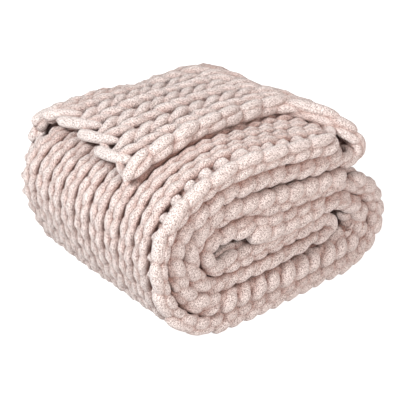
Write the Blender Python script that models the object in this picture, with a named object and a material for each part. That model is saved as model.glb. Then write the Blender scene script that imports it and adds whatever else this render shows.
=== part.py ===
"""A chunky knitted throw blanket, folded double and then folded into a loose stack.

Units are metres. +X runs along the width of the stack, +Y runs from its front to its back, and +Z is up.
The whole blanket is one strip of cloth. The strip's section is given in the XZ plane, and its width lies along Y.
"""
import math

import bpy
import numpy as np

# The strip's width across the stack, the room between two plies, and how much of its room a ply fills.
STRIP_WIDTH = 0.40
PLY_GAP = 0.0025
PLY_FILL = 0.90
CM = 0.01

# The wales are the raised columns of stitches that run along the strip.
# Shares are of half the ply's thickness: in the grooves between wales, at the edges and at the strip's ends.
SELVEDGE_WIDTH = 0.022
WALE_COUNT = 9
GROOVE_SHARE = 0.55
EDGE_SHARE = 0.42
END_SHARE = 0.50

# How finely the path is cut: a step on a straight run, and a turn between two stations.
# Angles are smoothed over a few dense steps first.
STRAIGHT_STEP = 0.070
TURN_STEP = 0.48
DENSE_STEP = 0.002
SMOOTH_OVER = 9

# The turn at the core has this many steps, and the cloth is pinched thinner there.
# The flap runs into the inner ply over a stretch of dense steps.
CORE_STEPS = 12
TURN_THIN = 0.16
JOIN_FROM = 8
JOIN_OVER = (8, 24, 44)

# The flap lies back from the front, and what passes the back edge hangs down over it in a round turn.
# A stretch that is set back by less than FULL_HANG turns down later, so the hang fades out.
BACK_EDGE = 0.393
HANG_RADIUS = 0.040
FULL_HANG = 0.050

# How the stack settles: its back is lower than its front, and it leans and bulges a little.
# Rates are in radians per metre, and steps are shares of the height.
BACK_SETTLE = 0.085
STACK_HEIGHT = 0.36
SWAY = 0.004
SWAY_RATE = 7.0
BULGE_RATE = 20.0
SHIFT_RATE = 11.0
ROLL = 0.012
ROLL_RATE = 9.0

# The left side bulges at the back, between these heights, and fades out towards the right.
LEFT_BULGE = 0.031
BULGE_FROM = 0.09
BULGE_TO = 0.48
BULGE_FADE = 0.50

# Its foot is drawn in at the back and stands out in front, up to this height.
FOOT_TURN = 0.014
FOOT_TO = 0.13
FOOT_PIVOT = 0.40

# The flap's free end is cut slantwise: it starts later towards the middle of the strip.
FLAP_SLANT = 0.062
SLANT_FADE = 0.30
SLANT_WIDE = 0.50

# Where the stack sinks in or rises: its right shoulder, the flap's back edge and its left back corner.
# Columns: x and y of the middle, how wide and how long it is, and how deep. A rise has a depth below zero.
HOLLOWS = (
    (0.48, 0.25, 0.060, 0.060, 0.016),
    (0.30, 0.43, 0.100, 0.100, 0.016),
    (0.06, 0.42, 0.060, 0.090, -0.012),
)
DIP_FROM = 0.26

# Under its own weight the yarn is pressed flat below one height and takes its own form above the other.
FLAT_BELOW = 0.012
ROUND_ABOVE = 0.028

# The flap's middle line, from its free end on the left to where it turns in under the top layer.
# Columns: x, z, ply thickness and how far the front edge is set back, in centimetres.
FLAP = (
    (5.0, 30.0, 2.9, 11.0),
    (8.0, 31.7, 3.0, 11.3),
    (12.0, 33.1, 3.0, 11.0),
    (16.0, 34.0, 3.0, 11.0),
    (20.6, 34.7, 3.0, 11.3),
    (25.8, 34.7, 3.0, 12.0),
    (30.5, 34.4, 3.0, 12.8),
    (36.9, 33.9, 3.0, 13.0),
    (41.6, 33.2, 3.1, 11.0),
    (44.8, 31.8, 3.1, 5.0),
    (46.9, 29.6, 3.1, 1.8),
    (48.4, 27.5, 2.9, 0.6),
    (47.8, 25.4, 2.8, 0.3),
    (45.6, 24.9, 3.0, 0.2),
)

# The middle line between the doubled cloth's two plies, from the top right, round the stack and into its core.
# Columns: x, z, ply thickness and how far the front edge is set back, in centimetres.
DOUBLED = (
    (42.9, 27.6, 3.6, 0.0),
    (39.6, 27.9, 3.7, 0.0),
    (35.5, 28.25, 3.8, 0.0),
    (30.6, 28.7, 3.75, 0.0),
    (25.8, 29.0, 3.7, 0.0),
    (20.8, 29.1, 3.7, 0.0),
    (16.2, 28.6, 3.4, 0.0),
    (11.8, 27.3, 3.4, 0.0),
    (8.0, 25.6, 3.3, 0.0),
    (5.2, 23.0, 3.1, 0.1),
    (4.0, 19.6, 2.95, 0.2),
    (3.8, 16.3, 3.0, 0.2),
    (4.6, 12.7, 3.2, 0.2),
    (6.4, 8.9, 3.4, 0.2),
    (9.9, 5.8, 3.6, -0.4),
    (14.5, 4.25, 3.8, -0.6),
    (22.0, 4.0, 3.85, -0.6),
    (30.0, 4.05, 3.9, -0.6),
    (38.0, 4.1, 3.9, -0.5),
    (46.2, 4.35, 4.0, -0.2),
    (49.8, 5.3, 4.0, 0.0),
    (51.8, 7.95, 4.05, 0.1),
    (52.2, 11.1, 4.05, 0.2),
    (50.5, 14.5, 4.0, 0.1),
    (47.2, 17.2, 4.0, 0.0),
    (43.8, 19.0, 3.95, -0.2),
    (39.5, 19.7, 3.95, -0.3),
    (34.8, 19.8, 4.0, -0.4),
    (30.0, 19.9, 4.4, -0.4),
    (25.5, 20.3, 4.5, -0.3),
    (21.5, 21.2, 3.6, 0.0),
    (17.3, 21.0, 3.6, 0.3),
    (13.8, 20.4, 3.2, 0.4),
    (11.6, 18.3, 2.85, 0.5),
    (11.2, 15.2, 2.7, 0.6),
    (12.5, 12.7, 2.55, 0.6),
    (15.0, 11.1, 2.5, 0.6),
    (19.5, 10.95, 2.5, 0.5),
    (24.1, 11.1, 2.6, 0.4),
    (30.1, 11.4, 2.75, 0.4),
    (33.8, 11.7, 2.95, 0.4),
    (38.2, 12.0, 3.15, 0.4),
    (40.6, 12.1, 3.15, 0.4),
)

YARN_COLOR = (0.72, 0.53, 0.49, 1.0)
YARN_ROUGHNESS = 0.95


def spline(rows):
    """A smooth curve through the rows, as points DENSE_STEP apart along its x and z."""
    rows = np.array(rows, float) * CM
    ends = np.vstack([2 * rows[0] - rows[1], rows, 2 * rows[-1] - rows[-2]])
    found = []
    for i in range(1, len(ends) - 2):
        a, b, c, d = ends[i - 1 : i + 3]
        count = max(2, int(np.linalg.norm((c - b)[:2]) / DENSE_STEP))
        for t in np.arange(count) / count:
            found.append(
                0.5
                * (
                    2 * b
                    + (c - a) * t
                    + (2 * a - 5 * b + 4 * c - d) * t * t
                    + (3 * b - a - 3 * c + d) * t**3
                )
            )
    found.append(ends[-2])
    return np.array(found)


def left_of(points):
    """Unit vectors to the left of the way along a line in the XZ plane."""
    along = np.gradient(points[:, :2], axis=0)
    along /= np.linalg.norm(along, axis=1)[:, None]
    return np.stack([-along[:, 1], along[:, 0]], axis=1)


def strip_path():
    """The whole strip's middle line as rows of x, z, ply thickness and setback, from the flap to the outer ply's end."""
    middle = spline(DOUBLED)
    apart = (middle[:, 2] + PLY_GAP)[:, None] / 2
    inner, outer = middle.copy(), middle.copy()
    inner[:, :2] += left_of(middle) * apart
    outer[:, :2] -= left_of(middle) * apart
    tip = middle[-1]
    radius = apart[-1, 0]
    start = math.atan2(*(inner[-1, :2] - tip[:2])[::-1])
    turn = []
    for k in range(1, CORE_STEPS):
        angle = start - math.pi * k / CORE_STEPS
        thin = tip[2] * (1 - TURN_THIN * math.sin(math.pi * k / CORE_STEPS))
        turn.append([tip[0] + radius * math.cos(angle), tip[1] + radius * math.sin(angle), thin, tip[3]])
    join = np.vstack([np.array(FLAP) * CM, inner[list(JOIN_OVER)]])
    flap = spline(join / CM)
    meet = np.argmin(np.linalg.norm(flap[:, :2] - inner[JOIN_FROM, :2], axis=1))
    return np.vstack([flap[: meet + 1], inner[JOIN_FROM + 1 :], turn, outer[::-1]])


def stations(path):
    """Rows of the path spaced by how far it runs and how much it turns."""
    step = np.linalg.norm(np.diff(path[:, :2], axis=0), axis=1)
    far = np.concatenate([[0], np.cumsum(step)])
    even = np.arange(0, far[-1], DENSE_STEP)
    path = np.stack([np.interp(even, far, path[:, k]) for k in range(4)], axis=1)
    side = left_of(path)
    angle = np.unwrap(np.arctan2(side[:, 1], side[:, 0]))
    padded = np.pad(angle, SMOOTH_OVER // 2, mode="edge")
    angle = np.convolve(padded, np.ones(SMOOTH_OVER) / SMOOTH_OVER, mode="valid")
    cost = np.abs(np.gradient(angle)) / TURN_STEP + DENSE_STEP / STRAIGHT_STEP
    cost = np.cumsum(cost)
    count = int(cost[-1])
    at = np.linspace(cost[0], cost[-1], count)
    return np.stack([np.interp(at, cost, path[:, k]) for k in range(4)], axis=1)


def widths():
    """Places across the strip, and how high its surface stands there, as a share of half the ply."""
    wale = (STRIP_WIDTH - SELVEDGE_WIDTH) / WALE_COUNT
    places = [(0.0, EDGE_SHARE), (SELVEDGE_WIDTH / 2, 1.0), (SELVEDGE_WIDTH, GROOVE_SHARE)]
    for k in range(WALE_COUNT):
        start = SELVEDGE_WIDTH + k * wale
        last = k == WALE_COUNT - 1
        places.append((start + wale / 2, 1.0))
        places.append((start + wale, EDGE_SHARE if last else GROOVE_SHARE))
    return np.array(places)


def settle(points):
    """The stack's lean and slump, one smooth change of the whole space, so that no two plies meet."""
    x, y, z = points[..., 0], points[..., 1], points[..., 2]
    back = np.clip(y / STRIP_WIDTH, 0, 1)
    high = z / STACK_HEIGHT
    lean = np.sin(SWAY_RATE * y + 1.0)
    bulge = np.sin(BULGE_RATE * y) * np.cos(ROLL_RATE * x)
    roll = np.sin(ROLL_RATE * (x + y))
    left = np.sin(math.pi * np.clip((z - BULGE_FROM) / (BULGE_TO - BULGE_FROM), 0, 1)) ** 2 * (1 - x / BULGE_FADE)
    new_x = x + SWAY * high * (lean + bulge) - LEFT_BULGE * back * left
    new_x += FOOT_TURN * (back - FOOT_PIVOT) * np.clip(1 - z / FOOT_TO, 0, 1) ** 2 * (1 - x / BULGE_FADE)
    new_y = y + SWAY * high * np.sin(SHIFT_RATE * x + 0.5)
    new_z = z * (1 - BACK_SETTLE * back**2 * high + ROLL * high * roll)
    for at_x, at_y, wide, long, deep in HOLLOWS:
        hollow = np.exp(-(((x - at_x) / wide) ** 2) - ((y - at_y) / long) ** 2)
        new_z -= deep * hollow * np.clip(z / DIP_FROM, 0, 1)
    return np.stack([new_x, new_y, new_z], axis=-1)


def pressed(z):
    """Heights once the weight of the stack has flattened the yarn under it."""
    rising = (z - FLAT_BELOW) * ROUND_ABOVE / (ROUND_ABOVE - FLAT_BELOW)
    return np.where(z > ROUND_ABOVE, z, np.maximum(rising, 0.0))


def slanted(path, across):
    """The path's columns at every place across the strip, with the flap's free end cut slantwise."""
    step = np.linalg.norm(np.diff(path[:, :2], axis=0), axis=1)
    far = np.concatenate([[0], np.cumsum(step)])
    share = np.clip(1 - far / SLANT_FADE, 0, 1)[:, None]
    later = FLAP_SLANT * share * np.sin(np.clip(across / SLANT_WIDE, 0, 1) * math.pi)[None, :]
    return [np.interp(far[:, None] + later, far, path[:, k]) for k in range(4)]


def middle_surface(path, across):
    """The strip's middle as a grid of points, with the flap's overhang turned down at the back."""
    x, height, _, setback = slanted(path, across)
    length = across[None, :] + setback
    over = np.clip(setback / FULL_HANG, 0, 1)
    edge = BACK_EDGE + FULL_HANG * (1 - over)
    past = np.maximum(length - edge, 0)
    angle = np.minimum(past / HANG_RADIUS, math.pi / 2)
    straight = past - angle * HANG_RADIUS
    y = np.where(past > 0, edge + HANG_RADIUS * np.sin(angle), length)
    down = HANG_RADIUS * (1 - np.cos(angle)) + straight
    return settle(np.stack([x, y, height - down], axis=-1))


def grid_normals(grid):
    along = np.gradient(grid, axis=0)
    over = np.gradient(grid, axis=1)
    found = np.cross(over, along)
    return found / np.linalg.norm(found, axis=2)[..., None]


def grid_faces(rows, columns):
    """Faces of a closed slab whose first grid faces along the normals and whose second one faces the other way."""
    size = rows * columns
    faces = []
    for i in range(rows - 1):
        for j in range(columns - 1):
            a, b = i * columns + j, i * columns + j + 1
            c, d = b + columns, a + columns
            faces.append((a, b, c, d))
            faces.append((a + size, d + size, c + size, b + size))
    for i in range(rows - 1):
        a, d = i * columns, (i + 1) * columns
        faces.append((a, d, d + size, a + size))
        b, c = a + columns - 1, d + columns - 1
        faces.append((b, b + size, c + size, c))
    for j in range(columns - 1):
        a, b = j, j + 1
        faces.append((a, a + size, b + size, b))
        d, c = (rows - 1) * columns + j, (rows - 1) * columns + j + 1
        faces.append((d, c, c + size, d + size))
    return faces


def blanket_mesh():
    path = stations(strip_path())
    places = widths()
    middle = middle_surface(path, places[:, 0])
    normals = grid_normals(middle)
    half = PLY_FILL * path[:, 2:3] / 2 * places[None, :, 1]
    half[[0, -1]] *= END_SHARE
    first = middle + normals * half[..., None]
    second = middle - normals * half[..., None]
    for side in (first, second):
        side[..., 2] = pressed(side[..., 2])
    points = np.concatenate([first.reshape(-1, 3), second.reshape(-1, 3)])
    points[:, 0] -= (points[:, 0].min() + points[:, 0].max()) / 2
    points[:, 1] -= (points[:, 1].min() + points[:, 1].max()) / 2
    mesh = bpy.data.meshes.new("blanket")
    mesh.from_pydata(points.tolist(), [], grid_faces(len(path), len(places)))
    mesh.validate()
    return mesh


def main():
    for old in list(bpy.data.objects):
        bpy.data.objects.remove(old)
    mesh = blanket_mesh()
    material = bpy.data.materials.new("chenille_knit")
    material.use_nodes = True
    shader = material.node_tree.nodes["Principled BSDF"]
    shader.inputs["Base Color"].default_value = YARN_COLOR
    shader.inputs["Roughness"].default_value = YARN_ROUGHNESS
    mesh.materials.append(material)
    mesh.polygons.foreach_set("use_smooth", [True] * len(mesh.polygons))
    blanket = bpy.data.objects.new("blanket", mesh)
    bpy.context.scene.collection.objects.link(blanket)


main()
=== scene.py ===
"""A chunky knitted throw blanket, folded double and then folded into a loose stack.

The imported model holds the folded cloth's shape. Here that cloth is knitted from one thick chenille yarn:
each course of stitches is a round yarn that snakes across the strip, and the strip is then folded.
Units are metres. +X runs along the width of the stack, +Y runs from its front to its back, and +Z is up.
"""
import math

import bmesh
import bpy
import numpy as np
from mathutils import Matrix, Vector, noise
from mathutils.bvhtree import BVHTree


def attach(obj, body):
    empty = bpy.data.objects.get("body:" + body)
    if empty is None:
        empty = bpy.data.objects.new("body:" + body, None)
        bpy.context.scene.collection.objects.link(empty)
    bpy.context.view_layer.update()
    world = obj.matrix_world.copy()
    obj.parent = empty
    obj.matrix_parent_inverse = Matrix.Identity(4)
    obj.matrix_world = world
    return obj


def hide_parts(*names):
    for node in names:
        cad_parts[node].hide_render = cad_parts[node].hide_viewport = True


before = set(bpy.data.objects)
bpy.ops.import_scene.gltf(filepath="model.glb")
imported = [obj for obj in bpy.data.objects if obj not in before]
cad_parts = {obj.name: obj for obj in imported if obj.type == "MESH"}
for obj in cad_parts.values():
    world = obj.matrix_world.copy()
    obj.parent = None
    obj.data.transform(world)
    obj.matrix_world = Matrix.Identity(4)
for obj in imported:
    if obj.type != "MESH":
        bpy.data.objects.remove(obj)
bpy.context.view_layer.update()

# The strip of cloth, and the room between its two plies.
STRIP_WIDTH = 0.40
STRIP_LENGTH = 4.316
PLY_GAP = 0.0025
CM = 0.01
DENSE_STEP = 0.002
ACROSS_STEP = 0.004
ACROSS_LOW = -0.04
ACROSS_HIGH = 0.44
FACING_SMOOTH = 7

# Where the stack's middle lies in the frame that the tables below are measured in.
MIDDLE_X = 0.27989
MIDDLE_Y = 0.22144

# The fold at the core, and how the flap runs into the inner ply.
CORE_STEPS = 12
TURN_THIN = 0.16
JOIN_FROM = 8
JOIN_OVER = (8, 24, 44)

# The flap passes the stack's back edge and hangs down over it.
BACK_EDGE = 0.393
HANG_RADIUS = 0.040
FULL_HANG = 0.050

# How the stack settles. Rates are in radians per metre, and their starts are in radians.
BACK_SETTLE = 0.085
STACK_HEIGHT = 0.36
SWAY = 0.004
SWAY_RATE = 7.0
SWAY_START = 1.0
BULGE_RATE = 20.0
SHIFT_RATE = 11.0
SHIFT_START = 0.5
ROLL = 0.012
ROLL_RATE = 9.0

# The left side bulges at the back, between these heights, and fades out towards the right.
LEFT_BULGE = 0.031
BULGE_FROM = 0.09
BULGE_TO = 0.48
BULGE_FADE = 0.50

# Its foot is drawn in at the back and stands out in front, up to this height.
FOOT_TURN = 0.014
FOOT_TO = 0.13
FOOT_PIVOT = 0.40

# The flap's free end is cut slantwise: it starts later towards the middle of the strip.
FLAP_SLANT = 0.062
SLANT_FADE = 0.30
SLANT_WIDE = 0.50

# Where the stack sinks in or rises: its right shoulder, the flap's back edge and its left back corner.
# Columns: x and y of the middle, how wide and how long it is, and how deep. A rise has a depth below zero.
HOLLOWS = (
    (0.48, 0.25, 0.060, 0.060, 0.016),
    (0.30, 0.43, 0.100, 0.100, 0.016),
    (0.06, 0.42, 0.060, 0.090, -0.012),
)
DIP_FROM = 0.26

# Where the weight of the stack presses the yarn flat, and above which height it keeps its own form.
FLAT_BELOW = 0.0035
ROUND_ABOVE = 0.016

# The flap's middle line, from its free end on the left to where it turns in under the top layer.
# Columns: x, z, ply thickness and how far the front edge is set back, in centimetres.
FLAP = (
    (5.0, 30.0, 2.9, 11.0),
    (8.0, 31.7, 3.0, 11.3),
    (12.0, 33.1, 3.0, 11.0),
    (16.0, 34.0, 3.0, 11.0),
    (20.6, 34.7, 3.0, 11.3),
    (25.8, 34.7, 3.0, 12.0),
    (30.5, 34.4, 3.0, 12.8),
    (36.9, 33.9, 3.0, 13.0),
    (41.6, 33.2, 3.1, 11.0),
    (44.8, 31.8, 3.1, 5.0),
    (46.9, 29.6, 3.1, 1.8),
    (48.4, 27.5, 2.9, 0.6),
    (47.8, 25.4, 2.8, 0.3),
    (45.6, 24.9, 3.0, 0.2),
)

# The middle line between the doubled cloth's two plies: from the top right, round the stack and into
# its core.
# Columns: x, z, ply thickness and how far the front edge is set back, in centimetres.
DOUBLED = (
    (42.9, 27.6, 3.6, 0.0),
    (39.6, 27.9, 3.7, 0.0),
    (35.5, 28.25, 3.8, 0.0),
    (30.6, 28.7, 3.75, 0.0),
    (25.8, 29.0, 3.7, 0.0),
    (20.8, 29.1, 3.7, 0.0),
    (16.2, 28.6, 3.4, 0.0),
    (11.8, 27.3, 3.4, 0.0),
    (8.0, 25.6, 3.3, 0.0),
    (5.2, 23.0, 3.1, 0.1),
    (4.0, 19.6, 2.95, 0.2),
    (3.8, 16.3, 3.0, 0.2),
    (4.6, 12.7, 3.2, 0.2),
    (6.4, 8.9, 3.4, 0.2),
    (9.9, 5.8, 3.6, -0.4),
    (14.5, 4.25, 3.8, -0.6),
    (22.0, 4.0, 3.85, -0.6),
    (30.0, 4.05, 3.9, -0.6),
    (38.0, 4.1, 3.9, -0.5),
    (46.2, 4.35, 4.0, -0.2),
    (49.8, 5.3, 4.0, 0.0),
    (51.8, 7.95, 4.05, 0.1),
    (52.2, 11.1, 4.05, 0.2),
    (50.5, 14.5, 4.0, 0.1),
    (47.2, 17.2, 4.0, 0.0),
    (43.8, 19.0, 3.95, -0.2),
    (39.5, 19.7, 3.95, -0.3),
    (34.8, 19.8, 4.0, -0.4),
    (30.0, 19.9, 4.4, -0.4),
    (25.5, 20.3, 4.5, -0.3),
    (21.5, 21.2, 3.6, 0.0),
    (17.3, 21.0, 3.6, 0.3),
    (13.8, 20.4, 3.2, 0.4),
    (11.6, 18.3, 2.85, 0.5),
    (11.2, 15.2, 2.7, 0.6),
    (12.5, 12.7, 2.55, 0.6),
    (15.0, 11.1, 2.5, 0.6),
    (19.5, 10.95, 2.5, 0.5),
    (24.1, 11.1, 2.6, 0.4),
    (30.1, 11.4, 2.75, 0.4),
    (33.8, 11.7, 2.95, 0.4),
    (38.2, 12.0, 3.15, 0.4),
    (40.6, 12.1, 3.15, 0.4),
)

# The knit: one course of stitches every COURSE_RISE along the strip, and wales side by side across it.
# The open ladder between the edge chain and the first wale is part of the edge's width.
EDGE_WIDTH = 0.031
BACK_WIDTH = 0.010
WALE_COUNT = 9
KNIT_WIDTH = STRIP_WIDTH - EDGE_WIDTH - BACK_WIDTH
COURSE_RISE = 0.0345
FLAP_RISE = 0.042
FIRST_COURSE = 0.030
LAST_COURSE = 0.010
STITCH_STEPS = 16

# The yarn's radius, how much of it a crossing yarn sinks in, and how far it stands out of its ply.
YARN_RADIUS = 0.0092
YARN_SINK = 0.92
YARN_PROUD = 0.0015

# A loop's reach as a share of its course, how much its head widens, and how its two legs close up.
LOOP_REACH = 0.905
HEAD_WIDEN = 0.125
LEG_CLOSE = 0.050
LEG_STAGGER = 0.0050
FLAP_WIDEN = 0.200
FLAP_CLOSE = 0.0
LEG_SWELL = 0.14
FLAP_LEG_SWELL = 0.24

# The flap is looser, up to this place along the strip. It is drawn with fewer, wider wales and thicker
# yarn, up to where it turns in under the top layer, so that its yarn isn't crushed towards the back.
FLAP_TO = 0.42
FLAP_FADE = 0.09
FLAP_WALES = 7
FLAP_UNDER = 0.50
FLAP_THICK = 0.05

# The flap's front wales are the widest, up to this place across the strip.
FLAP_EDGE = 0.72
FLAP_STRETCH = 1.44
STRETCH_TO = 0.200

# How many times as unevenly as elsewhere the flap's yarn runs on the cloth, and rises from it.
FLAP_WANDER = 3.6
FLAP_SWELL = 3.6

# How unevenly a course's yarn runs: along and across the strip and in height, in metres, and in its
# thickness, as a share.
# Columns: how much, how often in a metre across the strip, and the number of its first row of noise.
STRAY_ALONG = (0.0022, 14.0, 0)
STRAY_ACROSS = (0.0012, 20.0, 500)
STRAY_HIGH = (0.0010, 30.0, 900)
STRAY_THICK = (0.07, 40.0, 300)

# Noise is read this far apart, so that no two courses, turns, links or draws look alike.
COURSE_APART = 3.7
COURSE_LAYER = 0.5
TURN_APART = 1.9
TURN_DRAW_APART = 4.3
TURN_LAYER = 0.2
LINK_APART = 1.7
LINK_DRAW_APART = 5.3

# How the courses turn back at the front edge.
# Columns: place along the strip, how upright the turns stand, how far in they lie, in yarn radii, and how
# far the ladder behind the edge is drawn open.
EDGE_TURNS = (
    (0.00, 0.0, 0.85, 0.0),
    (0.50, 0.0, 0.85, 0.0),
    (0.58, 0.0, 1.30, 0.0),
    (1.08, 0.0, 1.30, 0.0),
    (1.14, 0.70, 1.30, 0.0),
    (1.46, 0.70, 1.30, 0.0),
    (1.52, 0.0, 1.30, 0.0),
    (3.62, 0.0, 1.30, 0.0),
    (3.70, 0.0, 0.85, 0.0),
    (3.90, 0.0, 0.85, 0.2),
    (4.00, 0.0, 0.85, 1.0),
    (4.24, 0.0, 0.85, 1.0),
    (4.30, 0.0, 0.85, 0.0),
)
EDGE_PLACE, EDGE_UPRIGHT, EDGE_SET_IN, EDGE_OPEN = zip(*EDGE_TURNS)

# At the back edge all turns stand upright. How far in they lie, in yarn radii, and how far beyond the
# back edge's width they start.
BACK_SET_IN = 0.85
BACK_TURN = 0.01

# How far the ladder opens at most, from which share of the edge's width on, how much its rungs swell
# there, and between which rows of a turn that swelling ends.
LADDER_OPEN = 0.010
LADDER_FROM = 0.5
RUNG_SWELL = 0.50
RUNG_ROWS = (0.8, 1.8)

# The points from one row of a turn to the next, how unevenly the front turns lie and swell, and how far
# an upright turn starts inside the first stitch.
TURN_STEPS = 4
TURN_SHIFT = 0.22
TURN_SWELL = 0.30
TURN_OVERLAP = 0.004

# How much thicker the yarn is in its turns, how much is added in upright ones, and the ply that this is
# meant for. A thinner or thicker ply changes it within these shares.
TURN_THICK = 1.16
UPRIGHT_THICK = 0.52
TURN_PLY = 0.037
TURN_PLY_SHARES = (0.85, 1.25)

# The chains that finish the front edge, one long link over the next.
# Columns: place along the strip, height as a share of the ply, radius, and how far in the middle lies.
FLAP_CHAIN = (
    (0.00, 0.17, 0.0125, 0.0125),
    (0.60, 0.17, 0.0125, 0.0125),
)
INNER_CHAIN = (
    (0.42, 0.10, 0.0135, 0.0125),
    (0.56, 0.02, 0.0150, 0.0130),
    (0.86, 0.02, 0.0150, 0.0130),
    (0.94, 0.16, 0.0148, 0.0125),
    (1.08, 0.16, 0.0148, 0.0130),
    (1.16, 0.10, 0.0125, 0.0220),
    (1.44, 0.10, 0.0125, 0.0220),
    (1.52, 0.02, 0.0145, 0.0130),
    (1.62, 0.00, 0.0145, 0.0130),
    (1.68, 0.20, 0.0172, 0.0115),
    (1.80, 0.26, 0.0185, 0.0115),
    (1.85, 0.06, 0.0150, 0.0125),
    (1.90, 0.14, 0.0162, 0.0125),
    (1.96, 0.04, 0.0145, 0.0120),
    (1.99, 0.42, 0.0135, 0.0180),
    (2.12, 0.42, 0.0140, 0.0180),
    (2.18, 0.10, 0.0135, 0.0130),
    (2.32, 0.02, 0.0130, 0.0125),
)
OUTER_CHAIN = (
    (2.30, 0.00, 0.0125, 0.0120),
    (2.46, 0.02, 0.0130, 0.0125),
    (2.56, 0.26, 0.0160, 0.0135),
    (2.68, 0.22, 0.0165, 0.0135),
    (2.76, 0.12, 0.0168, 0.0140),
    (2.84, 0.12, 0.0172, 0.0140),
    (3.04, 0.12, 0.0165, 0.0140),
    (3.30, 0.05, 0.0145, 0.0140),
    (3.62, 0.08, 0.0140, 0.0135),
    (3.70, 0.16, 0.0122, 0.0115),
    (4.30, 0.18, 0.0122, 0.0115),
)

# Second rows of links, behind the inner ply's chain: on the floor of the core's hollow, and inside the
# turn at the stack's right. The columns are the same.
CORE_LOOPS = (
    (1.97, 0.70, 0.0125, 0.0340),
    (2.05, 0.52, 0.0130, 0.0320),
    (2.14, 0.70, 0.0135, 0.0300),
)
RIM_LOOPS = (
    (1.42, 0.40, 0.0135, 0.0290),
    (1.48, 0.50, 0.0185, 0.0270),
    (1.56, 0.40, 0.0140, 0.0290),
)

# The forms of a chain's links.
# Columns: length as a share of their spacing, how far the far end is lifted, and how blunt the ends are.
LEAF = (1.50, 0.018, 2.2)
LONG = (1.28, 0.012, 2.7)
CORD = (1.28, 0.008, 3.0)

# The points of a link, and the share of its section that its tips keep.
LINK_POINTS = 14
LINK_TIP = 0.02

# How unevenly the links lie along the edge, as a share of their spacing, how unevenly they swell, and
# how far they drift in or out.
LINK_SHIFT = 0.22
LINK_SWELL = 0.16
LINK_DRIFT = 0.004

# The runs of the chains, in the order in which they are spun.
# Columns: piece, where the run starts and stops along the strip, how far apart its links are, their form,
# where their noise starts, and the table that they follow.
CHAINS = (
    ("flap_selvedge", -0.010, 0.420, 0.053, LONG, 3.0, FLAP_CHAIN),
    ("inner_selvedge", 0.410, 0.575, 0.041, LONG, 4.0, INNER_CHAIN),
    ("inner_selvedge", 0.575, 1.47, COURSE_RISE, LEAF, 6.0, INNER_CHAIN),
    ("inner_selvedge", 1.47, 2.32, COURSE_RISE, LEAF, 7.0, INNER_CHAIN),
    ("inner_selvedge", 1.99, 2.13, COURSE_RISE, LEAF, 5.0, CORE_LOOPS),
    ("inner_selvedge", 1.41, 1.57, COURSE_RISE, LEAF, 2.0, RIM_LOOPS),
    ("outer_selvedge", 2.32, 3.04, COURSE_RISE, LEAF, 8.0, OUTER_CHAIN),
    ("outer_selvedge", 3.04, 3.63, COURSE_RISE, LONG, 9.0, OUTER_CHAIN),
    ("outer_selvedge", 3.63, STRIP_LENGTH, 0.055, CORD, 11.0, OUTER_CHAIN),
)
SELVEDGES = ("flap_selvedge", "inner_selvedge", "outer_selvedge")

# The knitted courses, in four runs along the strip. Columns: piece, and where it starts and stops.
RUNS = (
    ("knit_flap", 0.0, 0.56),
    ("knit_inner_ply", 0.56, 2.28),
    ("knit_outer_low", 2.28, 3.30),
    ("knit_outer_high", 3.30, STRIP_LENGTH),
)

# The slanting loops that finish the strip's two ends.
# Columns: piece, where the loops start along the strip, how far they sweep, and how many there are.
ENDS = (
    ("bound_off_edge", -0.022, 0.046, FLAP_WALES),
    ("cast_on_edge", STRIP_LENGTH + 0.020, -0.026, WALE_COUNT),
)

# An end loop's radius, how far it reaches to each side in wales, its height at its start and how much it
# rises, and how it bends, tapers and rounds off.
END_RADIUS = 0.0122
END_REACH = 0.70
END_HEIGHT = 0.004
END_RISE = 0.004
END_BEND = 1.2
END_TAPER = 0.30
END_SKEW = 0.85
END_BLUNT = 4.0
END_TIP = 0.03

# The pile's own lumps: how many in a metre, and how high.
LUMP_RATE = 75.0
LUMP_HEIGHT = 0.0011

# How deep a place lies between the yarns, for the painted shade in the gaps: rays this long, from just
# off the pile, and how far they lean.
# They lean to the sides of a direction that hardly any pile faces, and what they find is evened out
# this many times.
OPEN_REACH = 0.024
OPEN_START = 0.0012
OPEN_LEAN = 0.85
OPEN_RAYS = 5
OPEN_SIDE = (0.31, 0.67, 0.67)
OPEN_SMOOTH = 2

# The curve's own bevel, which a point's radius scales, and the rings of the yarn and of the edges.
BEVEL_UNIT = 0.01
YARN_RINGS = 3
EDGE_RINGS = 4

# The sheet between the yarns: its segments along and across, how far it stays inside the strip's ends
# and edges, how deep it lies as a share of the ply, how much is added on the flap, and its lowest height.
GROUND_SEGMENTS = (420, 40)
GROUND_END = 0.01
GROUND_EDGE = 0.012
GROUND_DEPTH = 0.30
FLAP_GROUND_DEPTH = 0.14
GROUND_LOWEST = 0.004

# The yarn's colours, on its tufts, between them, and as a filter of painted shade where it lies deep
# between other yarns.
# Its pile's depth is in metres. The sheet behind the yarns stands for the cloth between them and is
# darker all over: painted shade at the bottom of the gaps.
WHITE = (1.0, 1.0, 1.0, 1.0)
YARN_LIGHT = (0.98, 0.89, 0.86, 1.0)
YARN_DARK = (0.37, 0.272, 0.248, 1.0)
YARN_PAINTED_SHADE = (0.55, 0.37, 0.325, 1.0)
YARN_PILE = 0.0050
SHADED_SHEET_LIGHT = (0.50, 0.36, 0.33, 1.0)
SHADED_SHEET_DARK = (0.34, 0.23, 0.21, 1.0)
DEEP_PILE = 0.0030

# The pile's pattern: tufts and clumps in a metre, between which noise values the tufts turn light, how
# open a place is where the painted shade's filter starts and ends, and how strongly the pile stands out.
TUFT_SCALE = 560.0
CLUMP_SCALE = 130.0
TUFT_STOPS = (0.40, 0.53)
PAINTED_SHADE_STOPS = (0.38, 0.88)
PILE_STRENGTH = 0.7

# The camera, solved for the stack's edges in the photograph, whose width and focal length are in pixels.
SENSOR_WIDTH = 36.0
FOCAL_PIXELS = 1241.0
PHOTO_PIXELS = 400.0
CAMERA_TURN = ((0.777, 0.303, -0.553), (-0.630, 0.373, -0.681), (0.0, 0.8775, 0.4807))
CAMERA_X = -1.0305
CAMERA_Y = -1.3928
CAMERA_Z = 1.2727

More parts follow.
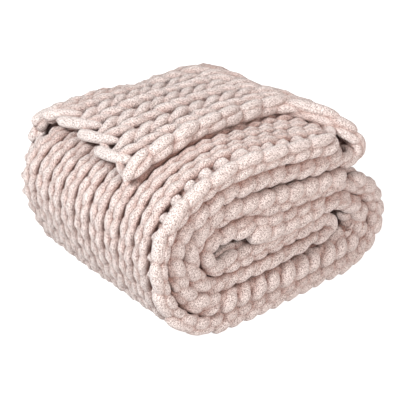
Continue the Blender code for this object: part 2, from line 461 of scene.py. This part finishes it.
# The floor, how brightly it glows for other things and for the camera, and the air's own light.
FLOOR_SIZE = 6.0
PAPER_COLOUR = (0.55, 0.55, 0.55, 1.0)
PAPER_GLOW = 0.25
PAPER_GLOW_SEEN = 0.95
AIR_COLOUR = (1.0, 0.93, 0.90, 1.0)
AIR_STRENGTH = 0.23

# The lights, which look at one point. Columns: name, place, size, power and colour.
LIGHTS = (
    ("window_light", (-2.05, -0.22, 2.15), 0.7, 75.0, (0.975, 1.0, 1.0)),
    ("front_fill", (-0.4, -2.6, 1.6), 0.8, 46.5, (1.0, 0.87, 0.82)),
)
LIGHTS_LOOK_AT = Vector((0, 0, 0.15))


def smooth_line(rows, per_row=None):
    """A smooth line through the rows: per_row points for each row, or else points DENSE_STEP apart."""
    ends = np.vstack([2 * rows[0] - rows[1], rows, 2 * rows[-1] - rows[-2]])
    found = []
    for i in range(1, len(ends) - 2):
        a, b, c, d = ends[i - 1 : i + 3]
        count = per_row or max(2, int(np.linalg.norm((c - b)[:2]) / DENSE_STEP))
        for t in np.arange(count) / count:
            bend = (2 * a - 5 * b + 4 * c - d) * t * t
            twist = (3 * b - a - 3 * c + d) * t**3
            found.append(0.5 * (2 * b + (c - a) * t + bend + twist))
    found.append(ends[-2])
    return np.array(found)


def left_of(points):
    """Unit vectors to the left of the way along a line in the XZ plane."""
    along = np.gradient(points[:, :2], axis=0)
    along /= np.linalg.norm(along, axis=1)[:, None]
    return np.stack([-along[:, 1], along[:, 0]], axis=1)


def strip_path():
    """The strip's middle line, from the flap's end to the outer ply's: x, z, ply thickness and setback."""
    middle = smooth_line(np.array(DOUBLED) * CM)
    apart = (middle[:, 2] + PLY_GAP)[:, None] / 2
    inner, outer = middle.copy(), middle.copy()
    inner[:, :2] += left_of(middle) * apart
    outer[:, :2] -= left_of(middle) * apart
    tip = middle[-1]
    radius = apart[-1, 0]
    start = math.atan2(*(inner[-1, :2] - tip[:2])[::-1])
    turn = []
    for k in range(1, CORE_STEPS):
        angle = start - math.pi * k / CORE_STEPS
        thin = tip[2] * (1 - TURN_THIN * math.sin(math.pi * k / CORE_STEPS))
        turn.append([tip[0] + radius * math.cos(angle), tip[1] + radius * math.sin(angle), thin, tip[3]])
    flap = smooth_line(np.vstack([np.array(FLAP) * CM, inner[list(JOIN_OVER)]]))
    meet = np.argmin(np.linalg.norm(flap[:, :2] - inner[JOIN_FROM, :2], axis=1))
    return np.vstack([flap[: meet + 1], inner[JOIN_FROM + 1 :], turn, outer[::-1]])


def travelled(path):
    """How far along the path each of its rows lies."""
    step = np.linalg.norm(np.diff(path[:, :2], axis=0), axis=1)
    return np.concatenate([[0], np.cumsum(step)])


def evenly(path):
    """The path's rows spaced DENSE_STEP apart."""
    far = travelled(path)
    even = np.arange(0, far[-1], DENSE_STEP)
    return np.stack([np.interp(even, far, path[:, k]) for k in range(4)], axis=1)


def settle(points):
    """The stack's lean and slump, one smooth change of the whole space, so that no two plies meet."""
    x, y, z = points[..., 0], points[..., 1], points[..., 2]
    back = np.clip(y / STRIP_WIDTH, 0, 1)
    high = z / STACK_HEIGHT
    lean = np.sin(SWAY_RATE * y + SWAY_START)
    bulge = np.sin(BULGE_RATE * y) * np.cos(ROLL_RATE * x)
    roll = np.sin(ROLL_RATE * (x + y))
    fade = 1 - x / BULGE_FADE
    left = np.sin(math.pi * np.clip((z - BULGE_FROM) / (BULGE_TO - BULGE_FROM), 0, 1)) ** 2 * fade
    new_x = x + SWAY * high * (lean + bulge) - LEFT_BULGE * back * left
    new_x += FOOT_TURN * (back - FOOT_PIVOT) * np.clip(1 - z / FOOT_TO, 0, 1) ** 2 * fade
    new_y = y + SWAY * high * np.sin(SHIFT_RATE * x + SHIFT_START)
    new_z = z * (1 - BACK_SETTLE * back**2 * high + ROLL * high * roll)
    for at_x, at_y, wide, long, deep in HOLLOWS:
        hollow = np.exp(-(((x - at_x) / wide) ** 2) - ((y - at_y) / long) ** 2)
        new_z -= deep * hollow * np.clip(z / DIP_FROM, 0, 1)
    return np.stack([new_x, new_y, new_z], axis=-1)


def slanted(path, across):
    """The path's columns at every place across the strip, with the flap's free end cut slantwise."""
    far = travelled(path)
    share = np.clip(1 - far / SLANT_FADE, 0, 1)[:, None]
    later = FLAP_SLANT * share * np.sin(np.clip(across / SLANT_WIDE, 0, 1) * math.pi)[None, :]
    return [np.interp(far[:, None] + later, far, path[:, k]) for k in range(4)]


def middle_surface(path, across):
    """The strip's middle as a grid of points, with the flap's overhang turned down at the back."""
    x, height, _, setback = slanted(path, across)
    length = across[None, :] + setback
    over = np.clip(setback / FULL_HANG, 0, 1)
    edge = BACK_EDGE + FULL_HANG * (1 - over)
    past = np.maximum(length - edge, 0)
    angle = np.minimum(past / HANG_RADIUS, math.pi / 2)
    straight = past - angle * HANG_RADIUS
    y = np.where(past > 0, edge + HANG_RADIUS * np.sin(angle), length)
    down = HANG_RADIUS * (1 - np.cos(angle)) + straight
    return settle(np.stack([x, y, height - down], axis=-1))


def smoothed(values, over):
    """A row of values, each the mean of its neighbours."""
    padded = np.pad(values, over // 2, mode="edge")
    return np.convolve(padded, np.ones(over) / over, mode="valid")


def folded_cloth():
    """Where the cloth's middle lies, which way its outer face looks, and its thickness along the strip."""
    path = evenly(strip_path())
    across = np.arange(ACROSS_LOW, ACROSS_HIGH, ACROSS_STEP)
    middle = middle_surface(path, across)
    along = np.gradient(middle, axis=0)
    over = np.gradient(middle, axis=1)
    facing = np.cross(along, over)
    for j in range(len(across)):
        for k in range(3):
            facing[:, j, k] = smoothed(facing[:, j, k], FACING_SMOOTH)
    facing /= np.linalg.norm(facing, axis=2)[..., None]
    middle[..., 0] -= MIDDLE_X
    middle[..., 1] -= MIDDLE_Y
    return middle, facing, path[:, 2]


MIDDLE, FACING, PLY = folded_cloth()


def looked_up(grid, along, across):
    """The grid's values between its points and a little past its rim, at places on the strip."""
    i, j = along / DENSE_STEP, (across - ACROSS_LOW) / ACROSS_STEP
    low_i = np.clip(i.astype(int), 0, len(grid) - 2)
    low_j = np.clip(j.astype(int), 0, grid.shape[1] - 2)
    part_i, part_j = (i - low_i)[:, None], (j - low_j)[:, None]
    near = grid[low_i, low_j] * (1 - part_j) + grid[low_i, low_j + 1] * part_j
    far = grid[low_i + 1, low_j] * (1 - part_j) + grid[low_i + 1, low_j + 1] * part_j
    return near * (1 - part_i) + far * part_i


def on_cloth(along, across, height):
    """Points of the folded cloth, at places along and across the strip and at heights over its middle."""
    base = looked_up(MIDDLE, along, across)
    facing = looked_up(FACING, along, across)
    return base + facing * height[:, None]


def ply_at(along):
    """How thick the cloth is, at places along the strip."""
    return np.interp(along, np.arange(len(PLY)) * DENSE_STEP, PLY)


def flap_share(along):
    """1 on the loose flap, and 0 where the cloth is folded tight."""
    return np.clip((FLAP_TO + FLAP_FADE - along) / FLAP_FADE, 0, 1)


def between(tight, loose, share):
    """A value that runs from the tight folds' one to the loose flap's, by the flap's share."""
    return tight + (loose - tight) * share


def loosened(along, across):
    """Places across the strip once the flap's front wales have spread and the ladder is drawn open."""
    share = flap_share(along)
    edge = EDGE_WIDTH * FLAP_EDGE
    wide = edge + (STRETCH_TO - EDGE_WIDTH) * FLAP_STRETCH
    spread = np.interp(across, (0, EDGE_WIDTH, STRETCH_TO, STRIP_WIDTH), (0, edge, wide, STRIP_WIDTH))
    ladder = LADDER_OPEN * np.interp(along, EDGE_PLACE, EDGE_OPEN)
    drawn = ladder * np.interp(across, (LADDER_FROM * EDGE_WIDTH, EDGE_WIDTH, STRETCH_TO), (0, 1, 0))
    return across * (1 - share) + spread * share + drawn


def strays(form, number, across, more=1.0):
    """How much one course's yarn strays, at places across the strip."""
    amount, rate, first_row = form
    row = (number + first_row) * COURSE_APART
    found = [noise.noise(Vector((row, place * rate, COURSE_LAYER))) for place in across]
    return amount * more * np.array(found)


def course_places():
    """Where every course lies along the strip: further apart on the loose flap."""
    found = [FIRST_COURSE]
    while found[-1] < STRIP_LENGTH - LAST_COURSE - COURSE_RISE:
        share = flap_share(found[-1])
        found.append(found[-1] + COURSE_RISE + (FLAP_RISE - COURSE_RISE) * share)
    return found


def edge_turn(at, rise, deep, inward, upright, set_in):
    """How a course turns back at an edge, as rows of place along, distance from the edge and height.

    Where the edge stands upright the turn crosses from one face to the other.
    Elsewhere it is a bump along the edge.
    """
    edge = set_in * YARN_RADIUS
    # Places along are in shares of the course's rise, and heights in shares of the yarn's own.
    across = np.array(
        (
            (at + 0.10 * rise, inward + TURN_OVERLAP, 0.3 * deep),
            (at + 0.10 * rise, 1.5 * edge, 0.80 * deep),
            (at + 0.02 * rise, edge, 0.30 * deep),
            (at - 0.06 * rise, edge, -0.45 * deep),
            (at - 0.14 * rise, 1.6 * edge, -deep),
        )
    )
    along = np.array(
        (
            (at + 0.55 * rise, inward, 0.1 * deep),
            (at + 0.42 * rise, 1.9 * edge, -0.25 * deep),
            (at + 0.15 * rise, edge, -0.62 * deep),
            (at - 0.25 * rise, edge, -0.80 * deep),
            (at - 0.62 * rise, 1.8 * edge, -deep),
        )
    )
    return across * upright + along * (1 - upright)


def course(number, at):
    """One course of stitches as rows of place along, place across, height and radius."""
    share = flap_share(at)
    rise = between(COURSE_RISE, FLAP_RISE, share)
    wales = FLAP_WALES if at < FLAP_UNDER else WALE_COUNT
    wide = KNIT_WIDTH / wales
    turn = np.arange(wales * STITCH_STEPS + 1) * 2 * math.pi / STITCH_STEPS
    yarn_radius = YARN_RADIUS * (1 + FLAP_THICK * share)
    deep = ply_at(at) / 2 + YARN_PROUD - yarn_radius * YARN_SINK
    widen = between(HEAD_WIDEN, FLAP_WIDEN, share)
    close = between(LEG_CLOSE, FLAP_CLOSE, share)
    across = EDGE_WIDTH + wide * turn / (2 * math.pi)
    across += wide * (widen * np.sin(2 * turn) + close * np.sin(turn))
    along = at - LOOP_REACH * rise * np.cos(turn) - LEG_STAGGER * np.sin(turn)
    body = np.stack([along, across, -deep * np.cos(2 * turn)], axis=1)

    # The turn at the front edge, which is uneven, and the turn at the back edge.
    upright = np.interp(at, EDGE_PLACE, EDGE_UPRIGHT)
    set_in = np.interp(at, EDGE_PLACE, EDGE_SET_IN)
    draws = [noise.noise(Vector((number * TURN_APART, n * TURN_DRAW_APART, TURN_LAYER))) for n in range(2)]
    shift, swell = draws
    turn_at = at + TURN_SHIFT * shift * rise
    near = edge_turn(turn_at, rise, deep * (1 + TURN_SWELL * swell), EDGE_WIDTH, upright, set_in)
    front = smooth_line(np.vstack([near, body[:1]]), TURN_STEPS)[:-1]
    far = edge_turn(at, rise, deep, BACK_WIDTH + BACK_TURN, 1.0, BACK_SET_IN)[::-1]
    far[:, 1] = STRIP_WIDTH - far[:, 1]
    back = smooth_line(np.vstack([body[-1:], far]), TURN_STEPS)[1:]
    rows = np.vstack([front, body, back])

    # Nothing in a hand-knitted course is quite even.
    loose = between(1, FLAP_WANDER, share)
    rows[:, 0] += strays(STRAY_ALONG, number, rows[:, 1], loose)
    rows[:, 1] = loosened(rows[:, 0], rows[:, 1]) + strays(STRAY_ACROSS, number, rows[:, 1], loose)
    rows[:, 2] += strays(STRAY_HIGH, number, rows[:, 1], between(1, FLAP_SWELL, share))
    radius = yarn_radius * (1 + strays(STRAY_THICK, number, rows[:, 1]))

    # The yarn is thicker in a stitch's legs, in the turns and in the open ladder's rungs.
    legs = np.concatenate([np.zeros(len(front)), (1 - np.cos(2 * turn)) / 2 - 0.5, np.zeros(len(back))])
    radius *= 1 + between(LEG_SWELL, FLAP_LEG_SWELL, share) * legs
    thick = np.clip(ply_at(rows[:, 0]) / TURN_PLY, *TURN_PLY_SHARES)
    at_edge = np.concatenate([np.ones(len(front)), np.zeros(len(turn)), np.ones(len(back))])
    radius *= 1 + at_edge * ((TURN_THICK + UPRIGHT_THICK * upright) * (1 + TURN_SWELL * shift) * thick - 1)
    rung = np.interp(np.arange(len(front)), np.array(RUNG_ROWS) * TURN_STEPS, (1, 0))
    radius[: len(front)] *= 1 + RUNG_SWELL * rung * np.interp(at, EDGE_PLACE, EDGE_OPEN)
    return np.column_stack([rows, radius])


def link(along, across, height, length, radius, lift, blunt):
    """One long link of a chain edge, whose far end lies over the next link."""
    part = np.linspace(0, 1, LINK_POINTS)
    slim = np.sqrt(np.clip(1 - np.abs(2 * part - 1) ** blunt, LINK_TIP, 1))
    place = along + (part - 0.5) * length
    rise = height + lift * (part - 0.5)
    return np.column_stack([place, np.full(len(part), across), rise, radius * slim])


def chain(start, stop, length, form, seed, table):
    """A chain of links along the front edge between two places along the strip, as the table says."""
    overlap, lift, blunt = form
    place, share, radius, inward = np.array(table).T
    found = []
    for k in range(int((stop - start) / length)):
        draws = [noise.noise(Vector((seed, k * LINK_APART, n * LINK_DRAW_APART))) for n in range(3)]
        shift, swell, drift = draws
        at = start + (k + 0.5 + LINK_SHIFT * shift) * length
        wide = np.interp(at, place, radius) * (1 + LINK_SWELL * swell)
        height = np.interp(at, place, share) * ply_at(at)
        across = np.interp(at, place, inward) + LINK_DRIFT * drift
        found.append(link(at, across, height, length * overlap, wide, lift, blunt))
    return found


def end_loops(start, sweep, wales):
    """The slanting loops that finish one end of the strip, one for each wale."""
    found = []
    wide = KNIT_WIDTH / wales
    part = np.linspace(0, 1, LINK_POINTS)
    blunt = np.sqrt(np.clip(1 - np.abs(2 * part**END_SKEW - 1) ** END_BLUNT, END_TIP, 1))
    radius = END_RADIUS * (blunt * (1 - END_TAPER * part))
    along = start + sweep * part**END_BEND
    height = END_HEIGHT + END_RISE * part
    for k in range(wales):
        middle = EDGE_WIDTH + (k + 0.5) * wide
        across = middle + (END_REACH - 2 * END_REACH * part) * wide
        found.append(np.stack([along, loosened(along, across), height, radius], axis=1))
    return found


def folded(lines):
    """Yarns given along and across the strip, as points of the folded cloth with their radii."""
    return [(on_cloth(rows[:, 0], rows[:, 1], rows[:, 2]), rows[:, 3]) for rows in lines]


def placed(name, data):
    """A new object in the scene."""
    thing = bpy.data.objects.new(name, data)
    bpy.context.scene.collection.objects.link(thing)
    return thing


def spun(name, lines, rings=YARN_RINGS):
    """A mesh of round yarns along the lines."""
    curve = bpy.data.curves.new(name, "CURVE")
    curve.dimensions = "3D"
    curve.bevel_depth = BEVEL_UNIT
    curve.bevel_resolution = rings
    curve.use_fill_caps = True
    curve.twist_mode = "MINIMUM"
    for points, radii in lines:
        yarn = curve.splines.new("POLY")
        yarn.points.add(len(points) - 1)
        yarn.points.foreach_set("co", np.column_stack([points, np.ones(len(points))]).ravel())
        yarn.points.foreach_set("radius", radii / BEVEL_UNIT)
    holder = placed(name + "_line", curve)
    ready = holder.evaluated_get(bpy.context.evaluated_depsgraph_get())
    mesh = bpy.data.meshes.new_from_object(ready)
    mesh.name = name
    bpy.data.objects.remove(holder)
    piece = placed(name, mesh)
    soften(mesh)
    mesh.shade_smooth()
    return piece


def coordinates(mesh, kind):
    """A mesh's vertex places or normals as rows."""
    found = np.empty(len(mesh.vertices) * 3)
    mesh.vertices.foreach_get(kind, found)
    return found.reshape(-1, 3)


def soften(mesh):
    """Gives the yarn its slightly lumpy pile, and presses it flat where the stack stands on it."""
    places = coordinates(mesh, "co")
    lumps = np.array([noise.noise(Vector(p) * LUMP_RATE) for p in places])
    places += coordinates(mesh, "normal") * (LUMP_HEIGHT * lumps)[:, None]
    rising = (places[:, 2] - FLAT_BELOW) * ROUND_ABOVE / (ROUND_ABOVE - FLAT_BELOW)
    places[:, 2] = np.where(places[:, 2] > ROUND_ABOVE, places[:, 2], np.maximum(rising, 0.0))
    mesh.vertices.foreach_set("co", places.ravel())
    mesh.update()


def spread_over(mesh, values):
    """The values of a mesh's vertices, each the mean of its own and its neighbours'."""
    edges = np.empty(len(mesh.edges) * 2, int)
    mesh.edges.foreach_get("vertices", edges)
    one, other = edges.reshape(-1, 2).T
    size = len(values)
    count = np.bincount(one, minlength=size) + np.bincount(other, minlength=size)
    for _ in range(OPEN_SMOOTH):
        near = np.bincount(one, values[other], size) + np.bincount(other, values[one], size)
        values = (values + near) / (1 + count)
    return values


def mark_shade_openness(pieces):
    """Notes how open each yarn's pile lies, for the painted shade: 1 on top of a stitch, less in the gaps
    between the yarns.
    """
    whole = bmesh.new()
    for piece in pieces:
        whole.from_mesh(piece.data)
    tree = BVHTree.FromBMesh(whole)
    whole.free()
    for piece in pieces:
        mesh = piece.data
        places, facing = coordinates(mesh, "co"), coordinates(mesh, "normal")
        aside = np.cross(facing, OPEN_SIDE)
        aside /= np.linalg.norm(aside, axis=1)[:, None]
        third = np.cross(facing, aside)
        starts = [Vector(p) for p in places + facing * OPEN_START]
        total = np.zeros(len(places))
        for k in range(OPEN_RAYS):
            angle = 2 * math.pi * k / OPEN_RAYS
            leaning = facing + OPEN_LEAN * (math.cos(angle) * aside + math.sin(angle) * third)
            for i, (start, way) in enumerate(zip(starts, leaning)):
                far = tree.ray_cast(start, Vector(way), OPEN_REACH)[3]
                total[i] += 1.0 if far is None else far / OPEN_REACH
        mark = mesh.attributes.new("shade_openness", "FLOAT", "POINT")
        mark.data.foreach_set("value", spread_over(mesh, total / OPEN_RAYS))


def ground_sheet(name):
    """The cloth itself between its raised yarns, one thin sheet folded with them."""
    sheet = bmesh.new()
    many, few = GROUND_SEGMENTS
    bmesh.ops.create_grid(sheet, x_segments=many, y_segments=few, size=0.5)
    places = np.array([v.co[:] for v in sheet.verts])
    along = GROUND_END + (places[:, 0] + 0.5) * (STRIP_LENGTH - 2 * GROUND_END)
    across = GROUND_EDGE + (places[:, 1] + 0.5) * (STRIP_WIDTH - 2 * GROUND_EDGE)
    height = -(GROUND_DEPTH + FLAP_GROUND_DEPTH * flap_share(along)) * ply_at(along)
    points = on_cloth(along, across, height)
    points[:, 2] = np.maximum(points[:, 2], GROUND_LOWEST)
    for vert, point in zip(sheet.verts, points):
        vert.co = point
    mesh = bpy.data.meshes.new(name)
    sheet.to_mesh(mesh)
    sheet.free()
    mesh.shade_smooth()
    return placed(name, mesh)


def colour_ramp(nodes, stops, colours):
    """A ramp from the first colour to the second, between the two stops."""
    ramp = nodes.new("ShaderNodeValToRGB")
    for k in range(2):
        ramp.color_ramp.elements[k].position = stops[k]
        ramp.color_ramp.elements[k].color = colours[k]
    return ramp


def chenille(name, light, dark, painted_shade, pile):
    """Plush chenille: short soft pile in small tufts, paler at their tips than between them, darkened by
    painted shade where the yarn lies deep between other yarns.
    """
    material = bpy.data.materials.new(name)
    material.use_nodes = True
    nodes, links = material.node_tree.nodes, material.node_tree.links
    shader = nodes["Principled BSDF"]
    shader.inputs["Roughness"].default_value = 0.96
    shader.inputs["Specular IOR Level"].default_value = 0.15
    shader.inputs["Sheen Weight"].default_value = 0.55
    shader.inputs["Sheen Roughness"].default_value = 0.5
    shader.inputs["Sheen Tint"].default_value = (1.0, 0.93, 0.9, 1.0)
    place = nodes.new("ShaderNodeTexCoord")
    tufts = nodes.new("ShaderNodeTexNoise")
    tufts.inputs["Scale"].default_value = TUFT_SCALE
    tufts.inputs["Detail"].default_value = 1.5
    tufts.inputs["Roughness"].default_value = 0.6
    links.new(place.outputs["Object"], tufts.inputs["Vector"])
    clumps = nodes.new("ShaderNodeTexNoise")
    clumps.inputs["Scale"].default_value = CLUMP_SCALE
    clumps.inputs["Detail"].default_value = 2.0
    links.new(place.outputs["Object"], clumps.inputs["Vector"])
    shade = colour_ramp(nodes, TUFT_STOPS, (dark, light))
    links.new(tufts.outputs["Fac"], shade.inputs["Fac"])
    # Painted shade: the colour is multiplied by a darker tone where the yarn lies deep between other
    # yarns.
    depth = nodes.new("ShaderNodeAttribute")
    depth.attribute_name = "shade_openness"
    painted_shade_filter = colour_ramp(nodes, PAINTED_SHADE_STOPS, (painted_shade, WHITE))
    links.new(depth.outputs["Fac"], painted_shade_filter.inputs["Fac"])
    colour = nodes.new("ShaderNodeMix")
    colour.data_type = "RGBA"
    colour.blend_type = "MULTIPLY"
    colour.inputs["Factor"].default_value = 1.0
    links.new(shade.outputs["Color"], colour.inputs["A"])
    links.new(painted_shade_filter.outputs["Color"], colour.inputs["B"])
    links.new(colour.outputs["Result"], shader.inputs["Base Color"])
    total = nodes.new("ShaderNodeMath")
    total.operation = "ADD"
    links.new(tufts.outputs["Fac"], total.inputs[0])
    links.new(clumps.outputs["Fac"], total.inputs[1])
    bump = nodes.new("ShaderNodeBump")
    bump.inputs["Strength"].default_value = PILE_STRENGTH
    bump.inputs["Distance"].default_value = pile
    links.new(total.outputs["Value"], bump.inputs["Height"])
    links.new(bump.outputs["Normal"], shader.inputs["Normal"])
    return material


def camera():
    """The camera at the photograph's angle."""
    lens = bpy.data.cameras.new("camera")
    lens.sensor_width = SENSOR_WIDTH
    lens.lens = SENSOR_WIDTH * FOCAL_PIXELS / PHOTO_PIXELS
    eye = placed("camera", lens)
    place = Vector((CAMERA_X - MIDDLE_X, CAMERA_Y - MIDDLE_Y, CAMERA_Z))
    eye.matrix_world = Matrix.Translation(place) @ Matrix(CAMERA_TURN).to_4x4()
    bpy.context.scene.camera = eye


def paper_floor():
    """The pale floor, which glows more brightly for the camera, like the photograph's background."""
    ground = bmesh.new()
    bmesh.ops.create_grid(ground, x_segments=1, y_segments=1, size=FLOOR_SIZE)
    mesh = bpy.data.meshes.new("floor")
    ground.to_mesh(mesh)
    ground.free()
    floor = placed("floor", mesh)
    paper = bpy.data.materials.new("pale_paper")
    paper.use_nodes = True
    nodes, links = paper.node_tree.nodes, paper.node_tree.links
    shader = nodes["Principled BSDF"]
    shader.inputs["Base Color"].default_value = PAPER_COLOUR
    shader.inputs["Roughness"].default_value = 1.0
    shader.inputs["Emission Color"].default_value = WHITE
    seen = nodes.new("ShaderNodeLightPath")
    glow = nodes.new("ShaderNodeMapRange")
    glow.inputs["To Min"].default_value = PAPER_GLOW
    glow.inputs["To Max"].default_value = PAPER_GLOW_SEEN
    links.new(seen.outputs["Is Camera Ray"], glow.inputs["Value"])
    links.new(glow.outputs["Result"], shader.inputs["Emission Strength"])
    mesh.materials.append(paper)


def soft_light():
    """The soft light from the upper left, the fill from the front and the air's own light."""
    world = bpy.data.worlds.new("studio_air")
    world.use_nodes = True
    air = world.node_tree.nodes["Background"]
    air.inputs["Color"].default_value = AIR_COLOUR
    air.inputs["Strength"].default_value = AIR_STRENGTH
    bpy.context.scene.world = world
    for name, place, size, power, tint in LIGHTS:
        lamp = bpy.data.lights.new(name, "AREA")
        lamp.color = tint
        lamp.size = size
        lamp.energy = power
        holder = placed(name, lamp)
        turn = (LIGHTS_LOOK_AT - Vector(place)).to_track_quat("-Z", "Y")
        holder.matrix_world = Matrix.Translation(place) @ turn.to_matrix().to_4x4()


bpy.context.scene.view_settings.view_transform = "Standard"
camera()
paper_floor()
soft_light()

yarn = chenille("blush_chenille", YARN_LIGHT, YARN_DARK, YARN_PAINTED_SHADE, YARN_PILE)
# A darker copy of the yarn for the sheet between the yarns: painted shade at the bottom of the gaps.
painted_shade_yarn = chenille("blush_chenille_painted_shade", SHADED_SHEET_LIGHT, SHADED_SHEET_DARK, WHITE, DEEP_PILE)

courses = list(enumerate(course_places()))
pieces = []
for name, low, high in RUNS:
    rows = [course(number, at) for number, at in courses if low <= at < high]
    pieces.append(spun(name, folded(rows)))
for name in SELVEDGES:
    edge_links = []
    for owner, *run in CHAINS:
        if owner == name:
            edge_links += chain(*run)
    pieces.append(spun(name, folded(edge_links), EDGE_RINGS))
for name, start, sweep, wales in ENDS:
    pieces.append(spun(name, folded(end_loops(start, sweep, wales)), EDGE_RINGS))

# How open each place is sets where shade is painted into the yarn's colour, in the gaps between the yarns.
mark_shade_openness(pieces)
for piece in pieces:
    piece.data.materials.clear()
    piece.data.materials.append(yarn)

# The sheet takes the darker copy of the yarn, painted shade at the bottom of the gaps.
ground = ground_sheet("cloth_ground")
ground.data.materials.append(painted_shade_yarn)

for piece in pieces + [ground]:
    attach(piece, "root")
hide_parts("blanket")
for piece in pieces:
    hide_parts("blanket")
